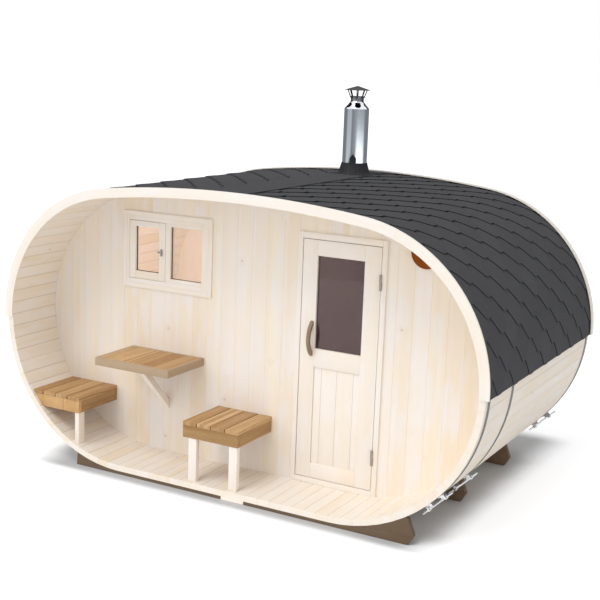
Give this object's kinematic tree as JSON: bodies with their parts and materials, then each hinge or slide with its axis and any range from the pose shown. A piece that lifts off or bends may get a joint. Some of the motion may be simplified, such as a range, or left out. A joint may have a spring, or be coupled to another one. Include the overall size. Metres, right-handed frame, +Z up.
{
  "type": "oval barrel sauna hut",
  "caption": "Oval wooden barrel sauna on saddle feet with an open porch, a hinged glazed door, a window, slatted seats, a wall table, a shingled roof and a chimney.",
  "frame": {"origin": "on the ground under the middle of the barrel", "axes": "+X across the barrel to the right seen from the porch, +Y from the porch to the back, +Z up"},
  "size_m": [3.964, 2.334, 2.904],
  "materials": {
    "pale_spruce": "planed, unpainted",
    "wall_spruce": "planed tongue and groove boards",
    "trim_spruce": "planed, fine grain",
    "dark_shingle": "mineral grit bitumen shingle",
    "band_steel": "satin strip",
    "brown_saddle_wood": "brown impregnated",
    "heat_treated_wood": "oiled heat treated wood",
    "handle_wood": "turned and oiled",
    "vent_wood": "dark heat treated wood",
    "hinge_steel": "zinc plated",
    "chimney_steel": "stainless, satin",
    "flashing_sheet": "dark flexible sheet",
    "clear_glass": "clear pane",
    "bronze_glass": "bronze tinted safety glass"
  },
  "bodies": {
    "barrel": {"floor_staves": "pale_spruce", "lower_left_staves": "pale_spruce", "lower_right_staves": "pale_spruce", "upper_left_staves": "pale_spruce", "upper_right_staves": "pale_spruce", "roof_staves": "pale_spruce", "front_wall_left": "wall_spruce", "front_wall_under_window": "wall_spruce", "front_wall_over_window": "wall_spruce", "front_wall_middle": "wall_spruce", "front_wall_over_door": "wall_spruce", "front_wall_right": "wall_spruce", "rear_wall": "wall_spruce", "front_arch_trim": "trim_spruce", "rear_arch_trim": "trim_spruce", "shingles_left": "dark_shingle", "shingles_ridge": "dark_shingle", "shingles_right": "dark_shingle", "front_band": "band_steel", "middle_band": "band_steel", "rear_band": "band_steel", "front_cradle": "brown_saddle_wood", "middle_cradle": "brown_saddle_wood", "rear_cradle": "brown_saddle_wood", "cradle_blocks": "pale_spruce", "door_frame": "trim_spruce", "hinge_frame_halves": "hinge_steel", "window_frame": "trim_spruce", "window_sash": "trim_spruce", "window_glass": "clear_glass", "window_latch": "hinge_steel", "table_top": "heat_treated_wood", "table_brace": "pale_spruce", "seat_slats": "heat_treated_wood", "seat_aprons": "heat_treated_wood", "seat_legs": "pale_spruce", "vent_cover": "vent_wood", "chimney_pipe": "chimney_steel", "chimney_cowl": "chimney_steel", "chimney_flashing": "flashing_sheet"},
    "door": {"door_frame_leaf": "trim_spruce", "door_glass": "bronze_glass", "door_panel": "wall_spruce", "door_handles": "handle_wood", "door_hinges": "hinge_steel"}
  },
  "joints": [
    {"name": "door_hinge", "type": "hinge", "parent": "barrel", "child": "door", "pos_m": [0.9745, -0.6828, 0.99], "axis": [0, 0, 1], "range_deg": [0, 95]}
  ]
}
